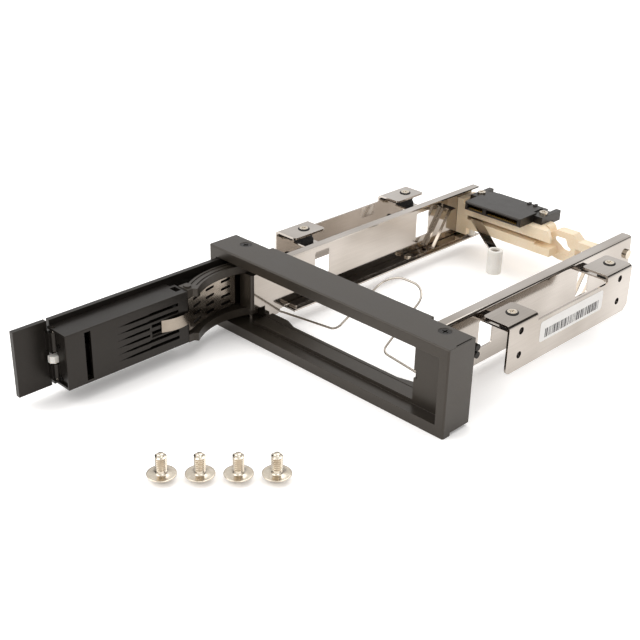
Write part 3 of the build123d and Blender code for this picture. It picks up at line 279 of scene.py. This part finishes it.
def makeLooseScrew(values, x, y):
    bm = bmesh.new()
    verts = [bm.verts.new((radius * mm, 0, height * mm)) for radius, height in values["outline"]]
    tip = [(values["rootRadius"], values["threadTo"]),
           (values["rootRadius"] - values["tipTaper"], values["tipHeight"]), (0, values["tipHeight"])]
    verts += [bm.verts.new((radius * mm, 0, height * mm)) for radius, height in tip]
    edges = [bm.edges.new(pair) for pair in zip(verts, verts[1:])]
    bmesh.ops.spin(bm, geom=verts + edges, cent=(0, 0, 0), axis=(0, 0, 1), angle=2 * math.pi,
                   steps=values["segments"], use_merge=True)
    # the thread is one tooth swept up a helix
    pitch = values["pitch"]
    foot = values["rootRadius"] - values["toothSink"]
    teeth = [(foot, 0)] + [(values["threadRadius"], pitch * share) for share in values["crest"]]
    teeth.append((foot, pitch))
    verts = [bm.verts.new((radius * mm, 0, (values["threadFrom"] + height) * mm))
             for radius, height in teeth]
    for face in bm.faces:
        face.smooth = True
    edges = [bm.edges.new(pair) for pair in zip(verts, verts[1:])]
    turns = (values["threadTo"] - values["threadFrom"]) / pitch - 1
    steps = int(turns * values["segments"] / 2)
    bmesh.ops.spin(bm, geom=verts + edges, cent=(0, 0, 0), axis=(0, 0, 1), angle=turns * 2 * math.pi,
                   steps=steps, dvec=(0, 0, turns * pitch * mm / steps))
    bmesh.ops.translate(bm, verts=bm.verts, vec=(x * mm, y * mm, 0))
    return bm


def gathered(parts):
    # several meshes in one
    whole = bmesh.new()
    for part in parts:
        spare = bpy.data.meshes.new("spare")
        part.to_mesh(spare)
        part.free()
        whole.from_mesh(spare)
        bpy.data.meshes.remove(spare)
    return whole


screws = [makeLooseScrew(looseScrews, looseScrews["first"][0] + place * looseScrews["step"][0],
                         looseScrews["first"][1] + place * looseScrews["step"][1])
          for place in range(looseScrews["count"])]
threadedScrews = addPiece("threadedScrews", gathered(screws), nickelPlate, "cage")
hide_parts("mounting_screws")
print("stage: loose screws")


def roundedCopy(name, node, material):
    # the CAD tube with its facets merged, so that it shades round
    bm = bmesh.new()
    bm.from_mesh(nodes[node].data)
    for face in bm.faces:
        face.smooth = True
    piece = addPiece(name, bm, material, "cage")
    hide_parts(node)


roundedCopy("roundWireSpring", "wire_spring", brightWire)
print("stage: wire spring")

# Rubber lips that show round the damper screws, and the tapped collars behind the bay holes
lips = {"x": 65.0, "y": (54.7, 132.8), "level": 37.5,
        "outline": ((2.35, 0.0), (2.35, 0.3), (2.5, 0.42), (2.85, 0.34), (3.0, 0.12), (3.0, 0.0))}
ringSegments = 32
collars = {"face": 72.0, "y": (51.3, 130.55), "z": (20.9, 32.74), "bore": 1.7, "crest": 1.45,
           "outer": 2.15, "length": 2.2, "pitch": 0.5}


def turned(points, place, axis):
    # a closed ring turned from (radius, height) points round an axis through the place
    bm = bmesh.new()
    verts = [bm.verts.new((radius * mm, 0, height * mm)) for radius, height in points]
    edges = [bm.edges.new(pair) for pair in zip(verts, verts[1:] + verts[:1])]
    bmesh.ops.spin(bm, geom=verts + edges, cent=(0, 0, 0), axis=(0, 0, 1), angle=2 * math.pi,
                   steps=ringSegments, use_merge=True)
    turn = Vector((0, 0, 1)).rotation_difference(Vector(axis)).to_matrix()
    bmesh.ops.rotate(bm, verts=bm.verts, cent=(0, 0, 0), matrix=turn)
    bmesh.ops.translate(bm, verts=bm.verts, vec=Vector(place) * mm)
    return bm


def collarPoints(values):
    # a sleeve whose bore has the crests and roots of a thread
    points = [(values["outer"], 0), (values["outer"], values["length"])]
    for crest in reversed(range(int(values["length"] / values["pitch"]))):
        low = crest * values["pitch"]
        points += [(values["bore"], low + values["pitch"]), (values["crest"], low + values["pitch"] / 2)]
    return points + [(values["bore"], 0)]


rings = [turned(lips["outline"], (side * lips["x"], y, lips["level"]), (0, 0, 1))
         for side in (-1, 1) for y in lips["y"]]
addPiece("damperLips", gathered(rings), blackRubber, "cage")
sleeves = [turned(collarPoints(collars), (side * collars["face"], y, z), (-side, 0, 0))
           for side in (-1, 1) for y in collars["y"] for z in collars["z"]]
addPiece("tappedCollars", gathered(sleeves), blackOxide, "cage")
print("stage: lips and collars")

# Sticker on the right plate, with generic bars and no digits
sticker = {
    "y": (66.0, 116.5), "z": (21.4, 31.6), "corner": 1.6, "thickness": 0.09,
    "bars": (70.0, 113.5), "barZ": (22.8, 27.2), "seed": 7, "barDepth": 0.03, "barLift": 0.01,
    "barWidths": (0.35, 0.35, 0.7, 1.05), "barGaps": (0.4, 0.4, 0.75),
}


def makeSticker(values, face):
    bm = bmesh.new()
    (y0, y1), (z0, z1) = values["y"], values["z"]
    corners = [bm.verts.new((face, y * mm, z * mm)) for y, z in ((y0, z0), (y1, z0), (y1, z1), (y0, z1))]
    bm.faces.new(corners)
    bmesh.ops.bevel(bm, geom=corners, affect="VERTICES", offset=values["corner"] * mm, segments=5,
                    profile=0.5, material=-1)
    bmesh.ops.solidify(bm, geom=bm.faces[:], thickness=-values["thickness"] * mm)
    return bm


def makeBars(values, face):
    bm = bmesh.new()
    draw = random.Random(values["seed"])
    y, end = values["bars"]
    low, high = values["barZ"]
    while y < end:
        wide = draw.choice(values["barWidths"])
        centre = Vector((face, (y + wide / 2) * mm, (low + high) / 2 * mm))
        size = Vector((values["barDepth"] * mm, wide * mm, (high - low) * mm))
        bmesh.ops.create_cube(bm, size=1, matrix=Matrix.Translation(centre) @ Matrix.Diagonal(size).to_4x4())
        y += wide + draw.choice(values["barGaps"])
    return bm


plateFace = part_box("right_bracket")[1].x
barFace = plateFace + (sticker["thickness"] + sticker["barLift"]) * mm
addPiece("labelSticker", makeSticker(sticker, plateFace), labelPaper, "cage")
addPiece("labelBars", makeBars(sticker, barFace), labelInk, "cage")
print("stage: sticker")

# Floor, backdrop and lamps
studio = {
    "floorSize": 6.0, "floorColour": "#f7f5f3", "floorGlow": 0.5, "shadeReach": 0.03,
    "shadeSamples": 8, "worldColour": "#fdfcfb", "worldLight": 0.62, "lampTarget": (0, 0.05, 0),
    "flagPlace": (0.42, 0.5, 0.36), "flagSize": 0.42, "flagColour": "#343230",
}
# place in metres, size of the disk and power in watts
lamps = {
    "keyLamp": ((-0.5, -0.7, 0.9), 1.1, 7.0),
    "fillLamp": ((0.9, -0.3, 0.5), 0.6, 2.2),
    "topLamp": ((-0.1, 0.5, 1.0), 0.9, 4.0),
}


def cameraMask(tree):
    # 1 for what the camera, a reflection or a clear piece sees
    path = addNode(tree, "ShaderNodeLightPath")
    first = addNode(tree, "ShaderNodeMath", {"operation": "MAXIMUM"},
                    {0: path.outputs["Is Camera Ray"], 1: path.outputs["Is Glossy Ray"]})
    return addNode(tree, "ShaderNodeMath", {"operation": "MAXIMUM"},
                   {0: first.outputs[0], 1: path.outputs["Is Transmission Ray"]}).outputs[0]


def makePlane(name, size, material):
    # a flat square that only dresses the studio
    bm = bmesh.new()
    bmesh.ops.create_grid(bm, x_segments=1, y_segments=1, size=size / 2)
    mesh = bpy.data.meshes.new(name)
    bm.to_mesh(mesh)
    bm.free()
    item = bpy.data.objects.new(name, mesh)
    scene.collection.objects.link(item)
    mesh.materials.append(material)
    return item


def makeFloor(values):
    material = bpy.data.materials.new("paperBackdrop")
    material.use_nodes = True
    tree = material.node_tree
    tree.nodes.remove(tree.nodes["Principled BSDF"])
    matt = addNode(tree, "ShaderNodeBsdfDiffuse", {"Color": linear(values["floorColour"])})
    # the glow fades under the object, so that its shadow stays
    openness = addNode(tree, "ShaderNodeAmbientOcclusion",
                       {"samples": values["shadeSamples"], "Distance": values["shadeReach"]})
    strength = addNode(tree, "ShaderNodeMapRange", {"To Min": 0.0, "To Max": values["floorGlow"]},
                       {"Value": openness.outputs["AO"]})
    glow = addNode(tree, "ShaderNodeEmission", {}, {"Strength": strength.outputs["Result"]})
    lit = addNode(tree, "ShaderNodeAddShader", {}, {0: matt.outputs[0], 1: glow.outputs[0]})
    mixed = addNode(tree, "ShaderNodeMixShader", {},
                    {0: cameraMask(tree), 1: matt.outputs[0], 2: lit.outputs[0]})
    tree.links.new(mixed.outputs[0], tree.nodes["Material Output"].inputs["Surface"])
    makePlane("studioFloor", values["floorSize"], material)


def makeWorld(values):
    world = bpy.data.worlds.new("studioWorld")
    world.use_nodes = True
    tree = world.node_tree
    tree.nodes.clear()
    seen = addNode(tree, "ShaderNodeBackground", {"Color": (1, 1, 1, 1), "Strength": 1})
    light = addNode(tree, "ShaderNodeBackground",
                    {"Color": linear(values["worldColour"]), "Strength": values["worldLight"]})
    mixed = addNode(tree, "ShaderNodeMixShader", {},
                    {0: cameraMask(tree), 1: light.outputs[0], 2: seen.outputs[0]})
    addNode(tree, "ShaderNodeOutputWorld", {}, {"Surface": mixed.outputs[0]})
    scene.world = world


def makeLamp(name, place, target, size, power):
    data = bpy.data.lights.new(name, "AREA")
    data.energy = power
    data.shape = "DISK"
    data.size = size
    item = bpy.data.objects.new(name, data)
    look = (Vector(target) - Vector(place)).to_track_quat("-Z", "Y").to_matrix().to_4x4()
    item.matrix_world = Matrix.Translation(place) @ look
    scene.collection.objects.link(item)


def makeFlag(values):
    # a dark card out of view, which metal reflects
    material = bpy.data.materials.new("darkCard")
    material.use_nodes = True
    shader = material.node_tree.nodes["Principled BSDF"]
    shader.inputs["Base Color"].default_value = linear(values["flagColour"])
    shader.inputs["Roughness"].default_value = 0.9
    item = makePlane("studioFlag", values["flagSize"], material)
    look = (-Vector(values["flagPlace"])).to_track_quat("Z", "Y").to_matrix().to_4x4()
    item.matrix_world = Matrix.Translation(values["flagPlace"]) @ look


makeFloor(studio)
makeWorld(studio)
makeFlag(studio)
for name, (place, size, power) in lamps.items():
    makeLamp(name, place, studio["lampTarget"], size, power)
scene.view_settings.view_transform = "Standard"
print("stage: studio")
